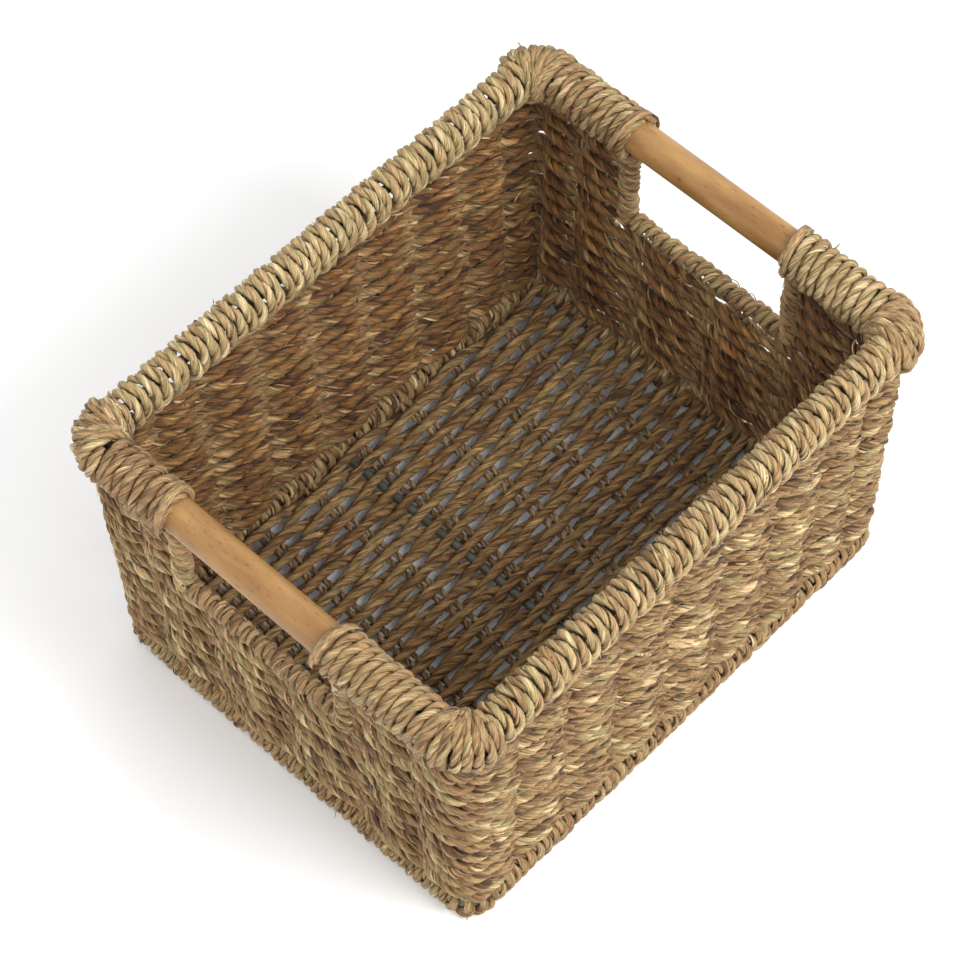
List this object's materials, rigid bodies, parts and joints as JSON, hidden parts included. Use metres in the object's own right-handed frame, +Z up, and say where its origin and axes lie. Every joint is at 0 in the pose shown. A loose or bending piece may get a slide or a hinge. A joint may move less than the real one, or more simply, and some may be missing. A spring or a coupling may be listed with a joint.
{
  "type": "woven storage basket",
  "caption": "Open rectangular storage basket of twisted seagrass rope woven round a hidden steel frame, with a wooden grip above a hand gap in each short side.",
  "frame": {"origin": "centre of the basket's footprint, on the ground", "axes": "+X along the long sides, +Y along the short sides towards the back, +Z up"},
  "size_m": [0.4018, 0.3218, 0.2371],
  "materials": {
    "wall_rope": "dry twisted seagrass rope, tan to grey-green",
    "floor_rope": "dry twisted seagrass rope, brown",
    "stake_cord": "thin twisted seagrass cord",
    "rim_rope": "straw-coloured twisted seagrass rope, slight sheen",
    "foot_rope": "dry twisted seagrass rope",
    "grip_wood": "smooth honey-tan hardwood, satin",
    "frame_steel": "grey-green coated steel rod"
  },
  "bodies": {
    "root": {"course_1_2": "wall_rope", "course_3_4": "wall_rope", "course_5_6": "wall_rope", "course_7_8": "wall_rope", "course_9_10": "wall_rope", "course_11_12": "wall_rope", "course_13_14": "wall_rope", "course_15_16": "wall_rope", "front_course_17_18": "wall_rope", "front_course_19_20": "wall_rope", "front_course_21_22": "wall_rope", "front_course_23_24": "wall_rope", "front_course_25_26": "wall_rope", "back_course_17_18": "wall_rope", "back_course_19_20": "wall_rope", "back_course_21_22": "wall_rope", "back_course_23_24": "wall_rope", "back_course_25_26": "wall_rope", "stake_cords_front": "stake_cord", "stake_cords_back": "stake_cord", "stake_cords_left": "stake_cord", "stake_cords_right": "stake_cord", "floor_ropes_front": "floor_rope", "floor_ropes_middle": "floor_rope", "floor_ropes_back": "floor_rope", "floor_cords": "stake_cord", "grip_left": "grip_wood", "grip_right": "grip_wood", "grip_wrap_front_left": "rim_rope", "grip_wrap_back_left": "rim_rope", "grip_wrap_front_right": "rim_rope", "grip_wrap_back_right": "rim_rope", "corner_wrap_front_left": "rim_rope", "corner_wrap_back_left": "rim_rope", "corner_wrap_front_right": "rim_rope", "corner_wrap_back_right": "rim_rope", "rim_wrap_front": "rim_rope", "rim_wrap_back": "rim_rope", "gap_sill_wrap_left": "rim_rope", "gap_sill_wrap_right": "rim_rope", "gap_side_wrap_front_left": "rim_rope", "gap_side_wrap_back_left": "rim_rope", "gap_side_wrap_front_right": "rim_rope", "gap_side_wrap_back_right": "rim_rope", "foot_wrap_front": "foot_rope", "foot_wrap_back": "foot_rope", "foot_wrap_left": "foot_rope", "foot_wrap_right": "foot_rope", "rim_rod_front": "frame_steel", "rim_rod_back": "frame_steel", "foot_ring": "frame_steel", "floor_brace": "frame_steel", "corner_posts": "frame_steel", "gap_frame_left": "frame_steel", "gap_frame_right": "frame_steel"}
  },
  "joints": []
}
